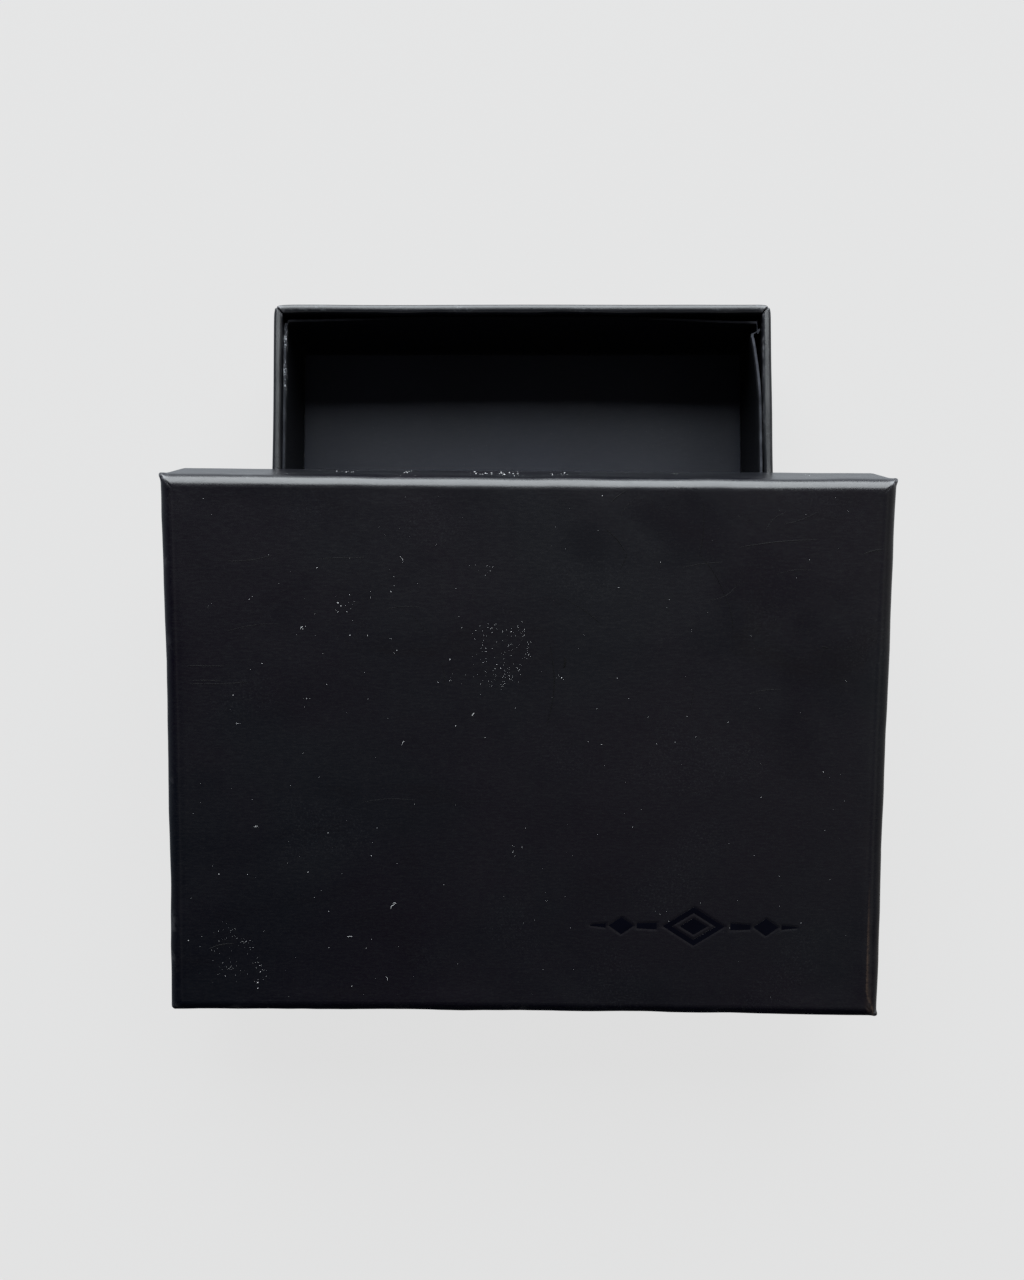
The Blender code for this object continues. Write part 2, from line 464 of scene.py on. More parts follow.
def wrap_look(name, dark, light, warm):
    """Black soft-touch paper: fine brushed grain, faint smears, worn folds and settled dust, and a painted
    sheen along the tray's rims.
    """
    look = Look(name, 0.6)
    grain = look.noise((600, 2600, 2600), 4.0, 0.6)
    cloud = look.noise(22.0, 3.0, 0.55, distortion=0.6)
    smear = look.noise((30, 46, 40), 4.0, 0.6, turn=28, distortion=1.2)
    fine = look.noise(5200.0, 2.0, 0.5)
    look.colour = look.mix(look.span(cloud, 0.38, 0.66), dark, light)
    look.coat(look.span(smear, 0.55, 0.72, 0.0, 0.55), warm)
    look.coat(look.span(grain, 0.42, 0.7, 0.0, 0.5), light)
    felt = look.noise((1900, 3600, 3600), 2.0, 0.6)
    look.coat(look.span(felt, 0.46, 0.74, 0.0, 0.6), PAPER_FELT)
    scuff = look.noise((70, 1500, 900), 3.0, 0.7, turn=3)
    scratch = look.span(scuff, 0.735, 0.79)
    look.coat(look.times(scratch, 0.35), PAPER_SCRATCHED)
    rubbed = look.noise(900.0, 4.0, 0.7)
    look.coat(look.times(look.attribute("wear"), look.span(rubbed, 0.42, 0.6)), PAPER_WORN)
    look.coat(look.times(look.attribute("rub"), look.span(rubbed, 0.3, 0.55)), PAPER_RUBBED)
    # The pale dust tone in a fine grain: settled dust, and on the tray's rims painted sheen
    dust_grain = look.span(look.noise(2600.0, 3.0, 0.7), 0.52, 0.68)
    dust = look.times(look.attribute("dust"), dust_grain)
    look.coat(dust, PAPER_DUST_AND_SHEEN)
    rough = look.span(smear, 0.3, 0.75, 0.35, 0.29)
    rough = look.maths("ADD", rough, look.span(grain, 0.3, 0.8, -0.03, 0.05))
    rough = look.maths("SUBTRACT", rough, look.times(look.attribute("smudge"), 0.10))
    rough = look.maths("ADD", rough, look.times(dust, 0.4))
    return look.finish(rough, [(grain, 0.000005), (fine, 0.000003), (scratch, -0.000006)])


def card_look(name, dark, light, raw, gloss):
    """Black-faced card with paler fibres where it is cut."""
    look = Look(name, gloss)
    fibre = look.noise((700, 2400, 1500), 4.0, 0.65)
    cloud = look.noise(40.0, 3.0, 0.5)
    pits = look.noise(6000.0, 2.0, 0.6)
    torn = look.noise(2600.0, 4.0, 0.75)
    look.colour = look.mix(look.span(cloud, 0.35, 0.7), dark, light)
    look.coat(look.span(fibre, 0.5, 0.75, 0.0, 0.4), light)
    look.coat(look.times(look.attribute("edge"), look.span(fibre, 0.25, 0.7, 0.55, 1.0)), raw)
    look.coat(look.times(look.attribute("wear"), look.span(torn, 0.50, 0.60)), CARD_TORN)
    look.coat(look.span(look.spots(900.0), 0.0, 0.06, 0.22, 0.0), CARD_DUST)
    rough = look.span(fibre, 0.2, 0.8, 0.58, 0.46)
    rough = look.maths("ADD", rough, look.times(look.attribute("cut"), 0.5))
    return look.finish(rough, [(fibre, 0.000006), (pits, 0.000002)])


def fibre_look(name, dark, light, fleck, grain):
    """Grey pulp board or gummed tape: layered fibres with flecks."""
    look = Look(name, 0.2)
    fibre = look.noise(grain, 5.0, 0.7)
    cloud = look.noise(120.0, 3.0, 0.5)
    flecks = look.span(look.spots(1400.0), 0.05, 0.14, 0.7, 0.0)
    look.colour = look.mix(look.span(fibre, 0.35, 0.7), dark, light)
    look.coat(look.span(cloud, 0.4, 0.7, 0.0, 0.4), light)
    look.coat(flecks, fleck)
    return look.finish(look.span(fibre, 0.2, 0.8, 0.95, 0.75), [(fibre, 0.00005), (flecks, 0.00001)])


def foil_look():
    """Glossy black stamping foil with tiny pinholes."""
    look = Look("black_foil", 0.2)
    worn = look.noise(1800.0, 4.0, 0.7)
    cloud = look.noise(160.0, 2.0, 0.5)
    look.colour = look.mix(look.span(cloud, 0.35, 0.7), (0.0004, 0.0006, 0.0026), (0.0008, 0.0011, 0.0036))
    look.coat(look.span(worn, 0.70, 0.78, 0.0, 0.5), (0.008, 0.008, 0.010))
    return look.finish(look.span(worn, 0.3, 0.8, 0.12, 0.24), [(worn, 0.000001), (cloud, 0.000006)])


def dust_look(name, dark, light):
    """Matt fibres of lint and thread, between two tones."""
    look = Look(name, 0.2)
    lint = look.noise(9000.0, 3.0, 0.6)
    look.colour = look.mix(look.span(lint, 0.35, 0.65), dark, light)
    return look.finish(look.span(lint, 0.2, 0.8, 0.95, 0.8), [(lint, 0.00001)])


def rim_rise(raw, to_side, to_end, near_rim, notch, swell, seed):
    """Rise of a wrap's rim: notched across its corners and uneven between them."""
    at_corner = (to_side < 1.8) & (to_end < 1.8)
    uneven = swell * waves(raw, (9, 9, STILL), seed)
    return (uneven - notch * mitre(to_side, to_end, 0.20) * at_corner) * near_rim


def tray_wrap_shape(raw):
    """Uneven rim, mitred corners, corner tabs under the side paper, and slightly loose turn-in."""
    x, y, z, to_side, to_end = parts(raw, BASE_WIDTH, BASE_LENGTH)
    out = raw.copy()
    near_rim = smooth(z, BASE_HEIGHT - 3, BASE_HEIGHT - 0.3)
    out[:, 2] += rim_rise(raw, to_side, to_end, near_rim, 0.55, 0.07, 3)
    ripple = waves(raw, (14, 14, 8), 5) * 0.05
    on_sides = (to_side < 1.7) & (to_end > 1.0)
    on_ends = (to_end < 1.7) & (to_side > 1.0)
    inside = smooth(np.minimum(to_side, to_end), 1.0, 1.5)
    keep = smooth(np.maximum(to_side, to_end), 0.9, 4)
    bulge = (ripple + 0.08 * inside * waves(raw, (7, 7, 9), 6)) * keep
    tip = 0.20 * bell(np.hypot(to_side, to_end), 0.0, 1.1) * near_rim
    out[:, 0] -= np.sign(x) * (np.where(on_sides, bulge, 0.0) + tip)
    out[:, 1] -= np.sign(y) * (np.where(on_ends, bulge, 0.0) + tip)
    tab = smooth(to_end, TRAY_TAB + 0.05, TRAY_TAB - 0.05)
    outer_face = to_side < 0.3
    low_enough = 1 - smooth(z, BASE_HEIGHT - 1.6, BASE_HEIGHT - 0.6)
    out[:, 0] += np.sign(x) * 0.07 * tab * outer_face * low_enough
    under = (z < 0.05) & (to_side > 3) & (to_end > 3)
    out[:, 2] += np.where(under, 0.05 * np.abs(waves(raw, 30, 2)), 0.0)
    return out


def tray_wrap_paint(raw):
    x, y, z, to_side, to_end = parts(raw, BASE_WIDTH, BASE_LENGTH)
    corner = bell(to_side, 0.2, 1.2) * bell(to_end, 0.2, 1.2)
    foot = bell(z, 0.3, 0.8) * smooth(waves(raw, 6, 9), 0.1, 0.8)
    rim = bell(z, BASE_HEIGHT, 0.5)
    inner_corner = bell(to_side, 1.6, 0.35) * bell(to_end, 1.7, 0.45) * rim
    wear = 0.5 * corner * bell(z, BASE_HEIGHT, 1.0) + 0.35 * corner * foot
    wear += 0.12 * foot * smooth(np.minimum(to_side, to_end), 1.0, 0.1)
    wear += 0.8 * inner_corner
    far_right = smooth(y, 30, 38) * smooth(x, 0.0, 1)
    inner_lip = bell(to_side, WALL, 0.25) * bell(z, BASE_HEIGHT - 0.5, 0.5)
    wear += 0.8 * far_right * inner_lip * smooth(waves(raw, 2.2, 4), 0.0, 0.7)
    # A pale coat along the whole rim in soft patches: painted sheen standing in for the rim's highlight,
    # not dust
    dust = 0.12 * rim * smooth(waves(raw, 5, 11), 0.1, 0.9)
    none = np.zeros(len(raw))
    return paints(wear=wear, dust=dust, rub=none, smudge=none)


def wall_liner_shape(raw):
    """The card band springs off the far corners, and its right run has come away and buckled."""
    half_x, half_y = BASE_WIDTH / 2 - LINER_FACE, BASE_LENGTH / 2 - LINER_FACE
    x, y, z, to_side, to_end = parts(raw, 2 * half_x, 2 * half_y)
    out = raw.copy()
    top = BASE_HEIGHT - LINER_BELOW_RIM
    free = smooth(z, 6, top) ** 1.3
    upper = smooth(z, top - 5, top)
    far = y > 0
    on_side = to_side < 0.6
    on_end = (to_end < 0.6) & ~(on_side & (to_side < to_end))
    spring = 0.75 * smooth(np.abs(x), 12, half_x) ** 1.4
    spring = spring * np.where(x > 0, 1.25, 0.75)
    out[:, 1] -= np.where(far & on_end, spring * free, 0.0)
    side_rise = 0.85 * (1 - smooth(y, half_y - 7, half_y - 2))
    out[:, 2] += np.where(on_side, side_rise * upper, 0.0)
    left = on_side & (x < 0) & far
    out[:, 1] -= np.where(left, 0.7 * smooth(y, half_y - 3, half_y) * free, 0.0)
    right = on_side & (x > 0) & far
    lift = np.clip((y - 40) / (half_y - 3.6 - 40), 0.0, 1.0) ** 1.8
    back = 1 - smooth(y, half_y - 2.8, half_y - 0.8)
    out[:, 0] -= np.where(right, 1.30 * lift * back * free, 0.0)
    out[:, 1] -= np.where(right, 1.9 * smooth(y, half_y - 4.5, half_y) * free, 0.0)
    out[:, 2] += 0.12 * waves(raw, (6, 6, STILL), 8) * free
    return out


def wall_liner_paint(raw):
    """The card's cut edge: pale and torn in places on the left, dimmer on the left than on the right, and
    darkened along the far wall with painted shade.
    """
    half_y = BASE_LENGTH / 2 - LINER_FACE
    x, y, z, to_side, to_end = parts(raw, BASE_WIDTH - 2 * LINER_FACE, 2 * half_y)
    top = BASE_HEIGHT - LINER_BELOW_RIM
    upper_edge = smooth(z, top - 0.12, top - 0.04)
    lower_edge = 1 - smooth(z, PLATE_LINER + 0.04, PLATE_LINER + 0.12)
    # Painted shade: the cut edge is dimmed along the far wall, where the far rim shades it
    far_wall_shade = smooth(to_side, 0.5, 2.5) * smooth(y, half_y - 3, half_y - 1)
    shown = 1 - far_wall_shade * (1.0 - 0.14 * smooth(-x, 12, 38) - 0.02 * smooth(x, 20, 38))
    shown *= np.where(x < 0, 0.40, 0.72)
    patchy = 0.62 + 0.30 * waves(raw, (1.6, 1.6, STILL), 13)
    torn = smooth(-x, 30, 40) * smooth(y, 39, 46) * (1 - smooth(y, half_y - 3, half_y))
    torn *= smooth(z, top - 0.6, top - 0.15)
    wear = 0.9 * torn * smooth(waves(raw, (1.3, 1.3, 1.3), 12), 0.05, 0.6)
    foot = smooth(x, 0.0, 1) * bell(z, 1.95, 0.15) * (y < half_y - 4)
    edge = np.maximum(upper_edge * shown * patchy, 0.5 * lower_edge)
    edge = np.maximum(edge, 0.16 * foot)
    return paints(edge=edge, wear=wear, cut=np.maximum(upper_edge, lower_edge))


def floor_card_shape(raw):
    """The card is a little warped and curls up along its sides."""
    out = raw.copy()
    warp = 0.12 * waves(raw, (35, 35, STILL), 21)
    curl = 0.25 * smooth(np.abs(raw[:, 0]), 34, 42.4) ** 2
    out[:, 2] += np.abs(warp) + curl
    return out


def floor_card_paint(raw):
    margin = LINER_FACE + CARD + FLOOR_CARD_MARGIN
    x, y, z, to_side, to_end = parts(raw, BASE_WIDTH - 2 * margin, BASE_LENGTH - 2 * margin)
    # Painted shade: the cut edge's pale tone is dimmed towards the far end, which lies in the far wall's
    # shade
    far = (y > 0) * (1 - smooth(to_end, 1, 3))
    cut = 1 - smooth(np.minimum(to_side, to_end), 0.01, 0.12)
    return paints(edge=cut * (0.08 - 0.07 * far), cut=cut, wear=np.zeros(len(raw)))


def bowed(points):
    """The points moved as the lid's walls are drawn in, most at the middle of each side."""
    x, y, z = points.T
    bow = LID_BOW_FOLD + (LID_BOW_RIM - LID_BOW_FOLD) * z / LID_HEIGHT
    u, v = 2 * x / LID_WIDTH, 2 * y / LID_LENGTH
    return np.column_stack([x - bow * u * (1 - v * v), y - bow * v * (1 - u * u), z])


def lozenge(centre_x, half_width, half_height):
    ends = ((1, 0), (0, 1), (-1, 0), (0, -1))
    return [(centre_x + a * half_width, b * half_height) for a, b in ends]


def rule(near, far, thick_near, thick_far):
    """A tapered bar along X from near to far, in either direction."""
    points = [(near, -thick_near), (far, -thick_far), (far, thick_far), (near, thick_near)]
    return points if far > near else points[::-1]


def ornament_shapes():
    """(outline, hole or None) of each foil shape, about the ornament's centre."""
    shapes = [(lozenge(0.0, 5.4, 3.5), lozenge(0.0, 3.8, 2.4))]
    shapes.append((lozenge(0.0, 2.4, 1.5), None))
    for side in (1, -1):
        shapes.append((rule(side * 6.4, side * 9.9, 0.62, 0.46), None))
        shapes.append((lozenge(side * 12.6, 2.2, 1.6), None))
        shapes.append((rule(side * 15.3, side * 18.0, 0.40, 0.10), None))
    return shapes


def inside_by(points, outline):
    """How far each point lies outside a convex anticlockwise outline; negative when inside."""
    worst = np.full(len(points), -np.inf)
    for (x0, y0), (x1, y1) in zip(outline, outline[1:] + outline[:1]):
        length = math.hypot(x1 - x0, y1 - y0)
        away = ((points[:, 0] - x0) * (y1 - y0) - (points[:, 1] - y0) * (x1 - x0)) / length
        worst = np.maximum(worst, away)
    return worst


def recess_at(x, y):
    """Depth of the stamped recess at points of the plate."""
    local = np.column_stack([x - ORNAMENT_X, y - ORNAMENT_Y])
    nearest = np.full(len(x), np.inf)
    for outline, hole in ornament_shapes():
        away = inside_by(local, outline)
        if hole:
            away = np.maximum(away, -inside_by(local, hole))
        nearest = np.minimum(nearest, away)
    return RECESS * (1 - smooth(nearest, 0.0, 0.28))


# The lid's corners that have pointed ears: their signs in x and y, and how far each stands out
EARS = ((-1, -1, 0.60), (1, -1, 0.55), (1, 1, 0.45), (-1, 1, 0.05))


def plate_sway(x, y):
    """How far the paper on the lid's plate dips, inward positive, at points of the plate."""
    to_fold = np.minimum(LID_WIDTH / 2 - np.abs(x), LID_LENGTH / 2 - np.abs(y))
    places = np.column_stack([x, y, np.zeros(len(x))])
    return 0.05 * waves(places, (38, 30, STILL), 33) * smooth(to_fold, 2.5, 9)


def fold_dents(raw):
    """Soft dents along the folds, as a move square to the fold's surface at each point."""
    x, y, z, to_side, to_end = parts(raw, LID_WIDTH, LID_LENGTH)
    edge, lean = np.minimum(to_side, to_end), np.maximum(to_side, to_end)
    across = np.clip((LID_FOLD - edge) / LID_FOLD, 0.0, 1.0)
    down = np.clip((LID_FOLD - z) / LID_FOLD, 0.0, 1.0)
    length = np.maximum(np.hypot(across, down), 1e-6)
    dent = waves(raw, (11, 13, 9), 31) * 0.08
    dent += waves(raw, (3.5, 3.5, 4), 32) * 0.025
    dent *= smooth(lean, 1, 6) * (1 - smooth(edge, 1.5, 5.5))
    dent *= 1 - 0.6 * smooth(z, 2, 6)
    on_side = to_side < to_end
    sideways, inward = dent * across / length, dent * down / length
    move = np.zeros_like(raw)
    move[:, 0] = np.where(on_side, -np.sign(x) * sideways, 0.0)
    move[:, 1] = np.where(on_side, 0.0, -np.sign(y) * sideways)
    move[:, 2] = inward
    return move


def lid_wrap_shape(raw):
    """Folds with soft dents, pointed paper ears at the corners, scored sides and the stamp."""
    x, y, z, to_side, to_end = parts(raw, LID_WIDTH, LID_LENGTH)
    half_x, half_y = LID_WIDTH / 2, LID_LENGTH / 2
    lean = np.maximum(to_side, to_end)
    out = raw + fold_dents(raw)
    for sign_x, sign_y, amount in EARS:
        from_tip = np.hypot(x - sign_x * half_x, y - sign_y * half_y)
        height = smooth(z, 0.0, 0.9) * (1 - smooth(z, 1.6, 5))
        pull = amount * bell(from_tip, 0.0, 0.68) * height
        out[:, 0] += sign_x * pull
        out[:, 1] += sign_y * pull * 0.7
    crease = mitre(to_side, to_end, 0.30) * (1 - smooth(lean, 1.3, 2.5))
    out[:, 2] += 0.10 * crease * (z < 3)
    on_plate = 1 - smooth(z, 0.0, 0.1)
    groove = bell(to_side, 2.35, 0.35) * smooth(to_end, 1.5, 4)
    out[:, 2] += 0.03 * groove * on_plate
    out[:, 2] += plate_sway(x, y) * on_plate
    stamped = (z < 0.001) & (np.abs(x - ORNAMENT_X) < 19) & (np.abs(y - ORNAMENT_Y) < 4.5)
    out[stamped, 2] += recess_at(x[stamped], y[stamped])
    near_rim = smooth(z, LID_HEIGHT - 3, LID_HEIGHT - 0.3)
    out[:, 2] += rim_rise(raw, to_side, to_end, near_rim, 0.5, 0.06, 34)
    tab = smooth(to_side, LID_TAB + 0.05, LID_TAB - 0.05)
    low_enough = 1 - smooth(z, LID_HEIGHT - 1.6, LID_HEIGHT - 0.6)
    rise = smooth(z, 1.2, 2.4) * low_enough * (to_end < 0.3)
    out[:, 1] += np.sign(y) * 0.06 * tab * rise
    nick = bell(x, -half_x, 1.2) * bell(y, NICK_Y, 0.7) * bell(z, 0.6, 1.2)
    out[:, 0] += 0.25 * nick
    straighter = (1 - (y / half_y) ** 2) * (x > 0)
    out[:, 0] += 0.20 * straighter * (1 - smooth(to_side, 0.2, 1.0))
    straighter = (1 - (x / half_x) ** 2) * (y < 0) * (1 - smooth(z, 4, 16))
    out[:, 1] -= 0.22 * straighter * (1 - smooth(to_end, 1.5, 4))
    return bowed(out)


def foil_shape(raw):
    """The foil dips with the paper it's stamped on."""
    out = raw.copy()
    out[:, 2] += plate_sway(raw[:, 0], raw[:, 1])
    return bowed(out)


# Greasy smudges on the lid's plate: place and half sizes in mm, and how strong
SMUDGES = (
    (12, -36.5, 5.5, 3.6, 0.8),
    (27, -38, 8, 6, 0.9),
    (41, -29, 9, 6.5, 0.8),
    (50, -15, 7, 9, 0.6),
    (47, -3, 5, 4, 0.5),
    (33, -20, 6, 4, 0.4),
)


def lid_wrap_paint(raw):
    x, y, z, to_side, to_end = parts(raw, LID_WIDTH, LID_LENGTH)
    corner = bell(to_side, 0.2, 0.9) * bell(to_end, 0.2, 0.9)
    high = bell(z, 0.5, 1.5)
    wear = 0.55 * corner * high + 0.4 * corner * bell(z, LID_HEIGHT, 1.0)
    folds = bell(np.minimum(to_side, to_end), 0.5, 0.6) * high
    wear += 0.12 * folds * smooth(waves(raw, 5, 41), 0.55, 0.95)
    nick = bell(x, 0.3 - LID_WIDTH / 2, 0.6) * bell(y, NICK_Y, 0.6) * high
    wear += 0.9 * nick
    seam = 2.10 - 1.2 * smooth(y, 42, 46)
    right = smooth(x, 0.0, 1) * bell(to_side, seam, 0.12)
    rub = 0.9 * right * smooth(y, 20, 36) * (z < 0.6)
    rub += 0.3 * smooth(x, 0, 1) * bell(to_side, 1.6, 0.6) * smooth(y, 36, 46) * high
    far_wall = (y < 0) * smooth(to_end, 0.35, 0.05) * smooth(z, 1.6, 4)
    dust = 0.10 * far_wall * smooth(waves(raw, (7, 7, 7), 42), -0.5, 0.6)
    dust += 0.012 * smooth(waves(raw, (14, 10, 9), 43), 0.2, 0.9)
    smudge = np.zeros(len(raw))
    for place_x, place_y, size_x, size_y, amount in SMUDGES:
        patch = np.hypot((x - place_x) / size_x, (y - place_y) / size_y)
        ragged = 0.35 * waves(raw, (6, 5, 5), 45)
        smudge += amount * (1 - smooth(patch + ragged, 0.20, 1.35))
    return paints(wear=wear, rub=rub, dust=dust, smudge=smudge)


def lid_liner_shape(raw):
    """The pasted sheet, with faint bubbles and its folds not quite square."""
    x, y, z, to_side, to_end = parts(raw, LID_WIDTH - 2 * LINER_FACE, LID_LENGTH - 2 * LINER_FACE)
    out = raw.copy()
    inner = smooth(z, PLATE_LINER + 0.07, PLATE_LINER + 0.13)
    free = inner * smooth(np.minimum(to_side, to_end), 1, 6)
    bubble = np.abs(waves(raw, (16, 11, STILL), 51))
    out[:, 2] += 0.10 * bubble * free
    out[:, 2] += 0.10 * waves(raw, (8, 8, STILL), 52) * smooth(z, 12, 17)
    return bowed(out)


def lid_liner_paint(raw):
    top = LID_HEIGHT - LID_LINER_BELOW_RIM
    edge = smooth(raw[:, 2], top - 0.1, top - 0.02)
    return paints(edge=edge, cut=edge, wear=np.zeros(len(raw)))


def foil_ornament():
    """The stamped foil, a thin film on the recess's floor."""
    mesh = Mesh()
    floor = RECESS + 0.01
    step = 0.012
    levels = ((floor, 0.0), (floor - FOIL + step, 0.0), (floor - FOIL, step))
    for outline, hole in ornament_shapes():
        loops = []
        for height, inset in levels:
            loops.append(mesh.add(inset_points(outline, inset, height)))
        if hole:
            for height, inset in reversed(levels):
                loops.append(mesh.add(inset_points(hole, -inset, height)))
        size = len(outline)
        for first, second in zip(loops, loops[1:]):
            mesh.skin(first, second, size)
        if hole:
            mesh.skin(loops[-1], loops[0], size)
        else:
            mesh.cap(loops[0], size, flip=True)
            mesh.cap(loops[-1], size)
    return mesh


def inset_points(outline, inset, height):
    """The convex outline pulled in by about the inset, moved onto the plate."""
    made = []
    centre_x = sum(p[0] for p in outline) / len(outline)
    centre_y = sum(p[1] for p in outline) / len(outline)
    for x, y in outline:
        reach = math.hypot(x - centre_x, y - centre_y)
        share = 1 - inset * 1.4 / reach
        place_x = centre_x + (x - centre_x) * share + ORNAMENT_X
        place_y = centre_y + (y - centre_y) * share + ORNAMENT_Y
        made.append((place_x, place_y, height))
    return made


def speck(mesh, rng, centre, radius, normal):
    """A crumb of lint: a small faceted lump with random proportions."""
    turn = Matrix.Rotation(rng.uniform(0, math.tau), 3, "Z")
    up = Vector(normal)
    tilt = up.to_track_quat("Z", "Y").to_matrix()
    long, wide = rng.uniform(0.8, 1.7), rng.uniform(0.6, 1.1)
    rings = ((-0.35, 0.75), (0.25, 0.9), (0.75, 0.5))
    sides = 6
    loops = []
    for level, size in rings:
        loop = []
        for k in range(sides):
            angle = math.tau * k / sides
            rough = size * rng.uniform(0.75, 1.15)
            point = Vector((math.cos(angle) * long * rough, math.sin(angle) * wide * rough, level))
            loop.append(tuple(Vector(centre) + tilt @ (turn @ (point * radius))))
        loops.append(mesh.add(loop))
    for first, second in zip(loops, loops[1:]):
        mesh.skin(first, second, sides)
    mesh.cap(loops[0], sides, flip=True)
    mesh.cap(loops[-1], sides)


# Where lint is scattered on the lid's plate: centre and half sizes in mm, how many crumbs, and
# their radius range in mm
LINT = (
    (-5, -17, 4.4, 5.4, 66, 0.025, 0.045),
    (-6.5, -19.5, 2.8, 3, 16, 0.035, 0.055),
    (-2.5, -19.5, 1.8, 1.8, 10, 0.035, 0.06),
    (-10.5, -12.5, 2.6, 2.2, 9, 0.025, 0.05),
    (-31, -25.5, 2.4, 1.6, 9, 0.03, 0.055),
    (-51, 39.5, 2.8, 2, 24, 0.02, 0.045),
    (-51.5, 35.5, 3.4, 4.4, 30, 0.02, 0.04),
    (-1.5, 17, 1.2, 1.3, 7, 0.04, 0.08),
    (6, -13, 0.8, 0.5, 3, 0.03, 0.06),
    (-6.5, -31, 1, 1.4, 5, 0.03, 0.06),
)
# Lint that lies in trails: points along each in mm, its spread, how many crumbs, and their radii
LINT_TRAILS = (
    (((-1.5, -22), (0, -19.5), (0.5, -17.5), (-0.5, -15.5), (-1.5, -14)), 0.3, 34, 0.025, 0.055),
    (((-1.5, -14), (-4, -12.5), (-7.5, -11.5)), 0.8, 46, 0.025, 0.05),
    (((-51.5, 31), (-49.5, 34.5), (-47.5, 34.5), (-47, 37)), 0.55, 30, 0.02, 0.045),
    (((-47, 37), (-45.5, 39.5), (-46.5, 42.5)), 0.55, 22, 0.02, 0.05),
)
# Single crumbs: place and radius in mm
SINGLE_LINT = (
    (-35.5, -31.5, 0.1), (-23, -27.5, 0.11), (-22.5, -30, 0.08), (-22.5, -28.5, 0.06),
    (-32, -25.5, 0.12), (-31.5, -25, 0.08), (-32, -24, 0.09), (-30.5, -24, 0.09),
    (-30, -27, 0.06), (-26.5, -27.5, 0.06), (-26.5, -26.5, 0.08), (-47, -26, 0.12),
    (-46.5, -26.5, 0.06), (-38, -21, 0.08), (-37.5, -21.5, 0.06), (-39, -20, 0.06),
    (-30, -20, 0.09), (-27, -20, 0.12), (-29.5, -22.5, 0.05), (-23, -19.5, 0.09),
    (-22, -17.5, 0.09), (-22.5, -17, 0.05), (-45, -15, 0.09), (-47, -14, 0.05),
    (-34, -11.5, 0.08), (-37.5, -9, 0.1), (-37, -9, 0.05), (-38, -9, 0.05),
    (-50, -9.5, 0.08), (-27, -9, 0.06), (-50.5, -7, 0.05), (-54.5, -43, 0.07),
    (-11, -21.5, 0.08), (-13, -16, 0.11), (-15, -12, 0.09), (-12, -4.5, 0.09),
    (-7, -2.5, 0.09), (6, -13, 0.13), (2.5, -14, 0.06), (-18.5, -29, 0.08),
    (12.5, -44, 0.1), (51.5, -44, 0.08), (15.5, -28.5, 0.1), (15.5, -13, 0.1),
    (13, -1.5, 0.1), (24, -26.5, 0.08), (38, -20.5, 0.07), (47.5, -33.5, 0.06),
    (27.5, -6.5, 0.08), (34.5, -5.5, 0.08), (25.5, -2, 0.06), (17.5, -9.5, 0.06),
    (-46.5, 13.5, 0.05), (-34, 14.5, 0.08), (-26.5, 18.5, 0.09), (-53, 22, 0.08),
    (-48, 22, 0.09), (-37.5, 21.5, 0.09), (-54, 20.5, 0.05), (-46.5, 22.5, 0.05),
    (-36.5, 26, 0.07), (-34, 28.5, 0.08), (-34, 35, 0.11), (-27.5, 35, 0.07),
    (-26.5, 33.5, 0.06), (-58.5, 34, 0.1), (-56.5, 35, 0.07), (-46, 39.5, 0.12),
    (-46.5, 41.5, 0.13), (-46.5, 42.5, 0.1), (-51.5, 39, 0.08), (-30, 42, 0.09),
    (-41, 44, 0.07), (-28, 43.5, 0.06), (-14, 23.5, 0.08), (51, 3, 0.09),
    (40.5, 7.5, 0.08), (8, 31, 0.07), (18.5, 13, 0.06), (44, 21.5, 0.06),
)


# The crumbs' glare makes them look larger than they are
GLARE = 0.8
STRAY_LINT = 170
# Lint along the lid's far wall, in mm: its middle in x, its spread, how many crumbs, and their radii
WALL_LINT = (
    (-33, 1.6, 13, 0.06, 0.13),
    (-21.5, 1.6, 12, 0.06, 0.12),
    (-8.5, 1.6, 18, 0.06, 0.15),
    (-3, 2.4, 26, 0.06, 0.15),
    (6.5, 1.2, 14, 0.06, 0.15),
    (10, 1.0, 5, 0.06, 0.12),
    (22, 9.0, 20, 0.05, 0.09),
    (-40, 6.0, 12, 0.04, 0.08),
    (0, 28.0, 80, 0.03, 0.06),
)


def dip_at(x, y):
    """How far the lid's plate dips at one point."""
    return float(plate_sway(np.array([x]), np.array([y]))[0])


def plate_lint():
    """Crumbs on the lid's plate: in patches, in trails, one by one, and strewn thinly all over."""
    rng = random.Random(8)
    mesh = Mesh()
    crumbs = []
    for centre_x, centre_y, half_w, half_h, count, small, large in LINT:
        for _ in range(count):
            radius, angle = math.sqrt(rng.random()), rng.uniform(0, math.tau)
            x = centre_x + radius * math.cos(angle) * half_w
            y = centre_y + radius * math.sin(angle) * half_h
            crumbs.append((x, y, rng.uniform(small, large)))
    for corners, spread, count, small, large in LINT_TRAILS:
        for _ in range(count):
            share = rng.random() * (len(corners) - 1)
            (x0, y0), (x1, y1) = corners[int(share) : int(share) + 2]
            x = x0 + (x1 - x0) * (share % 1) + rng.gauss(0, spread)
            y = y0 + (y1 - y0) * (share % 1) + rng.gauss(0, spread)
            crumbs.append((x, y, rng.uniform(small, large)))
    crumbs.extend((x, y, GLARE * radius) for x, y, radius in SINGLE_LINT)
    for _ in range(STRAY_LINT):
        crumbs.append((rng.uniform(-58, 58), rng.uniform(-44, 44), rng.uniform(0.02, 0.045)))
    for x, y, size in crumbs:
        speck(mesh, rng, (x, y, dip_at(x, y)), size, (0, 0, -1))
    return mesh


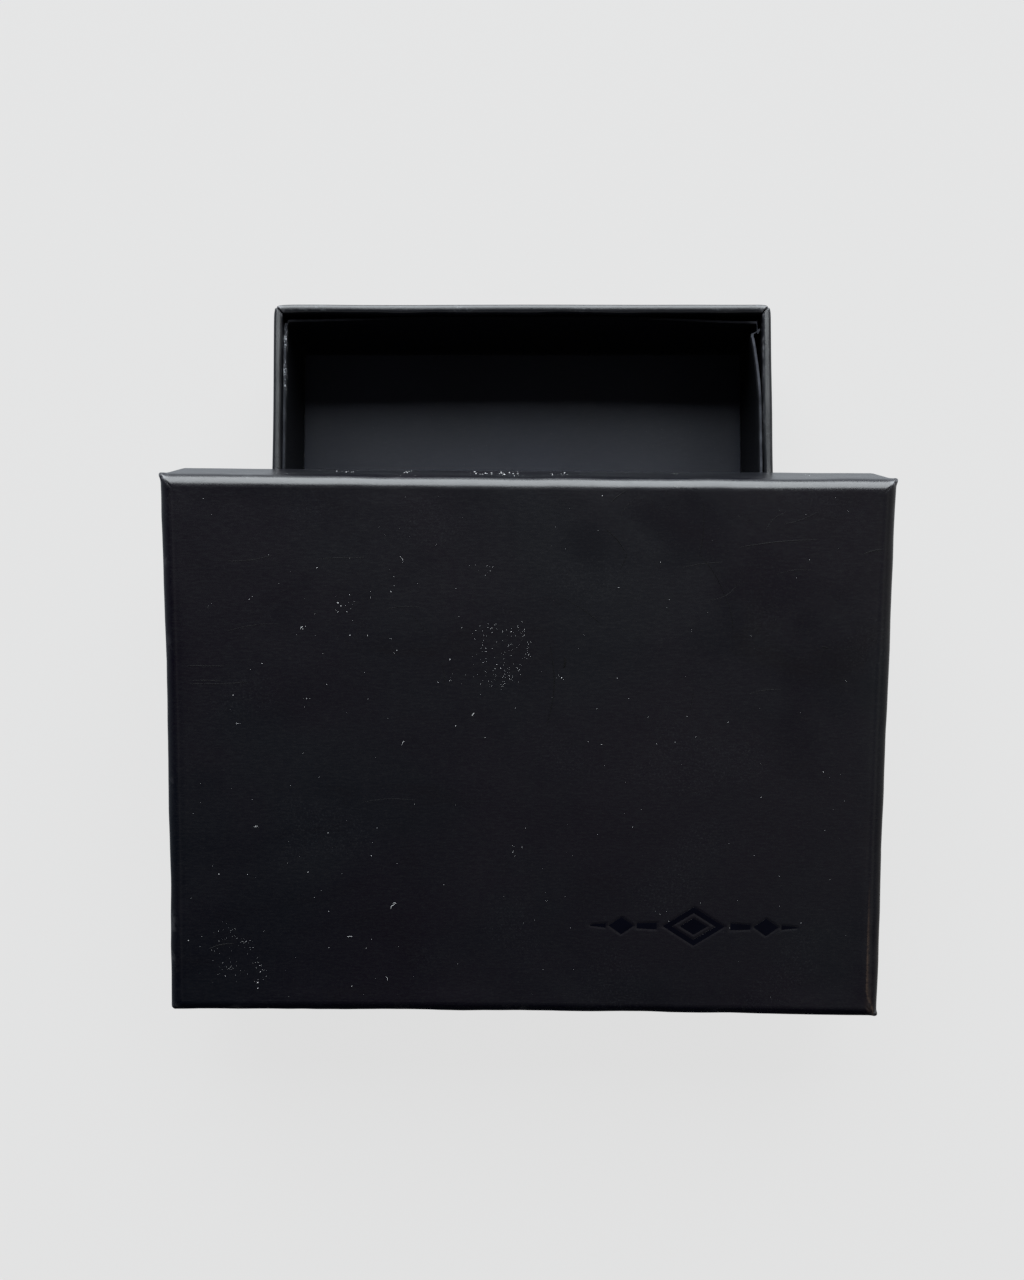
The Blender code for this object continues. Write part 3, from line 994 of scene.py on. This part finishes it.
# Loose threads on the lid's plate, in mm: where each starts, its heading in degrees, its length,
# its bend and its radius
PALE_FIBRES = (
    (-9.2, -6.2, -60, 0.7, 0.05, 0.045),
    (-21.2, -1, -65, 0.9, 0.1, 0.025),
    (-23.2, 28, -52, 1.1, 0.2, 0.04),
    (-22.8, 26.9, 10, 0.6, 0.1, 0.03),
    (-38.4, -21, -45, 0.6, 0.1, 0.045),
    (-46.8, 13.6, -10, 0.8, 0.1, 0.028),
    (-30.8, 33, 0, 0.9, 0.05, 0.022),
    (-24, 40.2, 75, 0.7, 0.1, 0.03),
    (-49.7, -4.6, 5, 0.8, 0.05, 0.02),
    (-21.5, -33.5, 70, 1.2, 0.3, 0.014),
)
DARK_HAIRS = (
    (4, -18.5, 92, 14, 1, 0.06),
    (6.5, -16.6, 94, 1.9, 0.1, 0.15),
    (6.5, -26.5, 35, 7.5, 0.3, 0.035),
    (-14.5, -15.5, 83, 4, 0.3, 0.035),
    (-20.5, -24.5, 48, 6.5, 0.2, 0.025),
    (13, -38.5, 48, 5, 0.3, 0.05),
    (16.8, -34.6, 112, 3.2, 0.2, 0.04),
    (29.5, -43, 93, 9, 0.3, 0.045),
    (29, -34.2, 58, 8.4, 0.5, 0.045),
    (33.6, -27, 77, 6, 0.3, 0.04),
    (28.5, -11.5, 98, 4, 0.1, 0.03),
    (50, -18.6, 8, 1.1, 0.1, 0.08),
)
# Burrs of fine scratches in the paper's coating, in the same terms
SCRATCHES = (
    (-50.5, -32.5, -8, 7.5, -0.3, 0.035),
    (-35.5, -33, -2, 8, 0.1, 0.03),
    (-58, -14.5, 0, 6.5, 0.1, 0.035),
    (-57.5, -11.5, -2, 10, -0.2, 0.035),
    (-57, -12, 1, 5, 0.1, 0.03),
    (-51, -20.5, -9, 9, 0.4, 0.025),
    (35.5, -35.5, -6, 13.5, 0.3, 0.045),
    (56.5, -34.5, -14, 3.6, 0.2, 0.04),
    (26, -32, -8, 7, 0.2, 0.03),
    (42, -31, -6, 6.5, 0.4, 0.025),
    (40, -38.5, -42, 4.5, 0.5, 0.03),
    (43, -39.5, -20, 6, -0.3, 0.03),
    (15.5, -40.5, -48, 5, 0.4, 0.025),
    (31, -26.5, -35, 6, -0.8, 0.025),
    (38, -10.5, -8, 5.5, 0.3, 0.03),
    (-55, 35.5, -14, 4.5, 0.3, 0.045),
    (14, -43, -38, 3, 0.1, 0.035),
    (-24, -24.5, -4, 6, 0.3, 0.025),
    (-28, 9, -3, 9, 0.4, 0.025),
)


def threads(table):
    """Threads lying on the plate, each an arc with its ends settled on the paper."""
    mesh = Mesh()
    for x, y, heading, length, bend, radius in table:
        path = []
        ahead = math.radians(heading)
        steps = 14
        for k in range(steps + 1):
            share = k / steps
            side = bend * math.sin(math.pi * share)
            px = x + length * share * math.cos(ahead) + side * math.sin(ahead)
            py = y + length * share * math.sin(ahead) - side * math.cos(ahead)
            path.append((px, py, dip_at(px, py) - 0.3 * radius))
        mesh.tube(path, radius)
    return mesh


def wall_lint():
    """Crumbs along the lid's far wall, which faces up a little."""
    rng = random.Random(21)
    mesh = Mesh()
    far = -LID_LENGTH / 2
    for middle, spread, count, small, large in WALL_LINT:
        for _ in range(count):
            x = max(-59.0, min(59.0, middle + rng.gauss(0, spread)))
            z = rng.uniform(2.5, 19)
            bow = 0.6 * LID_BOW_FOLD * (1 - (2 * x / LID_WIDTH) ** 2)
            speck(mesh, rng, (x, far + bow - 0.02, z), rng.uniform(small, large), (0, -1, 0))
    return mesh


def lid_rest():
    """The lid's place, turned over and tilted until it touches the tray's rims, as in the CAD."""
    depth = LID_HEIGHT - PLATE_LINER - PAPER
    reach = LID_LENGTH - 2 * WALL - CATCH_CLEARANCE
    slope = (reach - math.sqrt(reach * reach - 4 * depth * depth)) / (2 * depth)
    contact_y = LID_LENGTH / 2 - WALL - CATCH_CLEARANCE - depth * slope
    contact = Matrix.Translation(Vector((0.0, -contact_y, depth - LID_HEIGHT)) * MM)
    over = Matrix.Rotation(math.pi, 4, "X")
    tilt = Matrix.Rotation(math.atan(slope), 4, "X")
    yaw = Matrix.Rotation(LID_YAW, 4, "Z")
    place = Matrix.Translation(Vector((LID_SHIFT, -BASE_LENGTH / 2, BASE_HEIGHT + REST_GAP)) * MM)
    return place @ yaw @ tilt @ over @ contact


def build_tray():
    seam = BASE_LENGTH / 2 - TRAY_TAB
    seams = (around(-seam, 0.1, 0.05), around(seam, 0.1, 0.05))
    tray = Half(BASE_WIDTH, BASE_LENGTH, BASE_HEIGHT, BASE_FOLD, dense_y=seams)
    paper = wrap_look(
        "tray_wrap_paper",
        dark=(0.0032, 0.0036, 0.0052),
        light=(0.0052, 0.0058, 0.0080),
        warm=(0.0042, 0.0042, 0.0050),
    )
    wrap = tray.wrap(BASE_TURN_IN)
    wrap = wrap.object("tray_wrap", paper, tray_wrap_shape, tray_wrap_paint)
    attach(wrap, "base")
    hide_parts("base_wrap")

    raw = (0.085, 0.090, 0.105)
    card = card_look("tray_wall_card", (0.0024, 0.0026, 0.0040), (0.0036, 0.0042, 0.0060), raw, gloss=0.14)
    buckle = around(54, 4, 0.16)
    lined = Half(BASE_WIDTH, BASE_LENGTH, BASE_HEIGHT, BASE_FOLD, dense_y=(buckle,))
    top = BASE_HEIGHT - LINER_BELOW_RIM
    inside, low = LINER_FACE + CARD, PLATE_LINER
    band = [(LINER_FACE, low + EASE)] + run(LINER_FACE, low + EASE, top - EASE, 12)
    band += [(LINER_FACE, top - EASE), (LINER_FACE + EASE, top)]
    band += [(inside - EASE, top), (inside, top - EASE)] + run(inside, top - EASE, low + EASE, 12)
    band += [(inside, low + EASE), (inside - EASE, low), (LINER_FACE + EASE, low)]
    liner = lined.sheet(band, band=True, corner=LINER_FACE + 1.1)
    liner = liner.object("tray_wall_liner", card, wall_liner_shape, wall_liner_paint)
    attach(liner, "base")
    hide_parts("base_wall_liner")

    card = card_look("tray_floor_card", (0.0050, 0.0068, 0.0150), (0.0085, 0.0112, 0.0220), raw, gloss=0.28)
    margin, high = inside + FLOOR_CARD_MARGIN, low + FLOOR_CARD
    edge = [(margin + EASE, low), (margin, low + EASE), (margin, high - EASE), (margin + EASE, high)]
    panel = tray.sheet(edge, inner_grid=True)
    panel = panel.object("tray_floor_card", card, floor_card_shape, floor_card_paint)
    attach(panel, "base")
    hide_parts("base_floor_liner")


def build_lid():
    rest = lid_rest()
    seam = LID_WIDTH / 2 - LID_TAB
    dense_x = (around(ORNAMENT_X, 18.6, 0.24), around(-seam, 0.1, 0.05), around(seam, 0.1, 0.05))
    dense_y = (around(ORNAMENT_Y, 4.0, 0.2), around(NICK_Y, 0.9, 0.3))
    lid = Half(LID_WIDTH, LID_LENGTH, LID_HEIGHT, LID_FOLD, dense_x, dense_y)
    paper = wrap_look(
        "lid_wrap_paper",
        dark=(0.0010, 0.0003, 0.0028),
        light=(0.0003, 0.0009, 0.0029),
        warm=(0.0012, 0.0007, 0.0018),
    )
    wrap = lid.wrap(LID_TURN_IN)
    wrap = wrap.object("lid_wrap_sheet", paper, lid_wrap_shape, lid_wrap_paint, place=rest)
    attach(wrap, "lid")
    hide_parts("lid_wrap")

    plain = Half(LID_WIDTH, LID_LENGTH, LID_HEIGHT, LID_FOLD)
    inside, top, low = LINER_FACE + PAPER, LID_HEIGHT - LID_LINER_BELOW_RIM, PLATE_LINER + PAPER
    profile = [(LINER_FACE, PLATE_LINER)] + run(LINER_FACE, PLATE_LINER, top, 8)
    profile += [(LINER_FACE, top), (inside, top)] + run(inside, top, low, 8) + [(inside, low)]
    sheet = plain.sheet(profile, inner_grid=True)
    raw = (0.06, 0.06, 0.068)
    lining = card_look("lid_liner_paper", (0.008, 0.008, 0.010), (0.012, 0.012, 0.015), raw, gloss=0.28)
    sheet = sheet.object("lid_liner_sheet", lining, lid_liner_shape, lid_liner_paint, place=rest)
    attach(sheet, "lid")
    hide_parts("lid_liner")

    foil = foil_ornament().object("lid_foil_ornament", foil_look(), foil_shape, sharp=20, place=rest)
    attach(foil, "lid")

    lint = dust_look("pale_lint", (0.40, 0.41, 0.43), (0.60, 0.60, 0.60))
    hair = dust_look("dark_hair", (0.0006, 0.0006, 0.001), (0.0012, 0.001, 0.0014))
    burr = dust_look("scratched_coating", (0.009, 0.009, 0.010), (0.016, 0.016, 0.017))
    for name, mesh, finish in (
        ("lid_plate_lint", plate_lint(), lint),
        ("lid_wall_lint", wall_lint(), lint),
        ("lid_pale_fibres", threads(PALE_FIBRES), lint),
        ("lid_dark_hairs", threads(DARK_HAIRS), hair),
        ("lid_scratch_burrs", threads(SCRATCHES), burr),
    ):
        litter = mesh.object(name, finish, sharp=60, place=rest)
        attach(litter, "lid")


def dress_cad_nodes():
    """Board and tape materials on the CAD nodes that stay."""
    board = fibre_look(
        "pulp_board",
        dark=(0.20, 0.185, 0.16),
        light=(0.36, 0.34, 0.30),
        fleck=(0.09, 0.085, 0.08),
        grain=(900, 900, 3500),
    )
    tape = fibre_look(
        "gummed_kraft_tape",
        dark=(0.36, 0.26, 0.16),
        light=(0.55, 0.42, 0.27),
        fleck=(0.22, 0.15, 0.09),
        grain=(2200, 500, 500),
    )
    for name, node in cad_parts.items():
        finish = tape if "stay" in name else board
        node.data.materials.clear()
        node.data.materials.append(finish)


def glowing_look(name, glow, dark, light, scale):
    """An even glow over a nearly black matt surface, so that lamps and shadows hardly show on it."""
    look = Look(name, 0.0)
    sockets = look.shader.inputs
    sockets["Roughness"].default_value = 1.0
    sockets["Emission Color"].default_value = (1.0, 1.0, 1.0, 1.0)
    sockets["Emission Strength"].default_value = glow
    tone = look.mix(look.noise(scale, 2.0), (dark, dark, dark), (light, light, light))
    look.link(tone, sockets["Base Color"])
    return look.material


def staged(name, shape, material):
    """A bmesh made into an object of the studio, in metres."""
    data = bpy.data.meshes.new(name)
    shape.to_mesh(data)
    shape.free()
    data.materials.append(material)
    obj = placed(name, data)
    return obj


def pale_floor():
    shape = bmesh.new()
    sides = 48
    turns = [math.tau * k / sides for k in range(sides)]
    loops = []
    for radius in (0.2, 0.5, 1.0, 2.0, 6.0):
        loops.append([shape.verts.new((radius * math.cos(a), radius * math.sin(a), 0.0)) for a in turns])
    shape.faces.new(loops[0])
    for first, second in zip(loops, loops[1:]):
        for k in range(sides):
            j = (k + 1) % sides
            shape.faces.new((first[k], first[j], second[j], second[k]))
    bmesh.ops.recalc_face_normals(shape, faces=shape.faces)
    floor = staged("floor", shape, glowing_look("pale_floor", 0.725, 0.029, 0.031, 3.0))
    floor.location = (0, 0, -0.0001)
    floor.visible_glossy = False


def backdrop():
    """A pale dome that only the camera sees, so that every view has the floor's tone behind it."""
    shape = bmesh.new()
    bmesh.ops.create_uvsphere(shape, u_segments=48, v_segments=24, radius=7.0)
    dome = staged("backdrop", shape, glowing_look("pale_backdrop", 0.765, 0.001, 0.002, 1.0))
    for ray in ("diffuse", "glossy", "transmission", "volume_scatter", "shadow"):
        setattr(dome, f"visible_{ray}", False)


def window():
    """A soft rectangular light beyond the box, square to the line from the box's middle."""
    elevation, distance, radiance = math.radians(34.5), 1.0, 8.2
    away = Vector((0.0, math.cos(elevation), math.sin(elevation)))
    data = bpy.data.lights.new("window", "AREA")
    data.shape = "RECTANGLE"
    data.size, data.size_y = 1.3, 1.36
    data.energy = radiance * math.pi * data.size * data.size_y
    data.color = (0.92, 0.97, 1.0)
    lamp = placed("window", data)
    lamp.location = Vector((0.0, 0.0, 0.03)) + away * distance
    lamp.rotation_euler = away.to_track_quat("Z", "Y").to_euler()


def room():
    """What the box reflects: pale ground beyond it, dark ground by the viewer, a dim ceiling."""
    world = bpy.data.worlds.new("room")
    bpy.context.scene.world = world
    world.use_nodes = True
    sky = Nodes(world.node_tree, "Generated")
    background = sky.tree.nodes["Background"]
    split = sky.node("ShaderNodeSeparateXYZ")
    sky.link(sky.place, split.inputs[0])
    x, y, z = split.outputs
    ground = sky.mix(sky.span(x, -0.8, 0.7), (0.13, 0.15, 0.18), (0.40, 0.39, 0.37))
    ground = sky.mix(sky.span(y, 0.1, -0.7), ground, (0.010, 0.012, 0.018))
    ground = sky.mix(sky.span(y, -0.25, 0.6), ground, (0.62, 0.67, 0.72))
    overhead = sky.times(sky.span(z, 0.80, 0.985), sky.span(x, -0.27, 0.02, 0.62, 1.0))
    to_right = sky.maths("ADD", sky.span(x, -0.24, 0.22, 0.0, 0.6), sky.span(x, 0.2, 0.5, 0.0, 0.4))
    glow = sky.times(sky.maths("MAXIMUM", overhead, to_right), sky.span(z, 0.4, 0.80))
    glow = sky.times(glow, sky.span(y, -0.06, 0.20, 1.0, 0.30))
    lit = sky.mix(sky.span(x, 0.2, 0.5), (0.20, 0.19, 0.195), (0.33, 0.33, 0.31))
    ceiling = sky.mix(glow, (0.006, 0.007, 0.012), lit)
    beside = sky.times(sky.span(y, -0.5, 0.15), sky.span(z, 0.80, 0.35))
    beside = sky.times(beside, sky.span(sky.maths("ABSOLUTE", x, 0.0), 0.25, 0.75))
    walls = sky.mix(sky.span(x, -0.1, 0.1), (0.24, 0.26, 0.31), (0.56, 0.56, 0.53))
    ceiling = sky.mix(beside, ceiling, walls)
    sky.link(sky.mix(sky.span(z, 0.10, -0.02), ceiling, ground), background.inputs["Color"])
    background.inputs["Strength"].default_value = 1.0


def camera():
    """The eye, high above the box's near half. Its axis is as long as its turn in degrees."""
    data = bpy.data.cameras.new("camera")
    data.sensor_width = 36.0
    data.lens = 50.51
    data.clip_start = 0.01
    data.clip_end = 50.0
    eye = placed("camera", data)
    axis = Vector((4.7171, 0.3183, 0.0342))
    place = Matrix.Translation(Vector((-0.03, -27.30, 349.81)) * MM)
    eye.matrix_world = place @ Matrix.Rotation(math.radians(axis.length), 4, axis)
    bpy.context.scene.camera = eye


dress_cad_nodes()
build_tray()
build_lid()
pale_floor()
backdrop()
room()
window()
camera()
bpy.context.scene.view_settings.view_transform = "Standard"
bpy.context.scene.cycles.denoising_prefilter = "NONE"
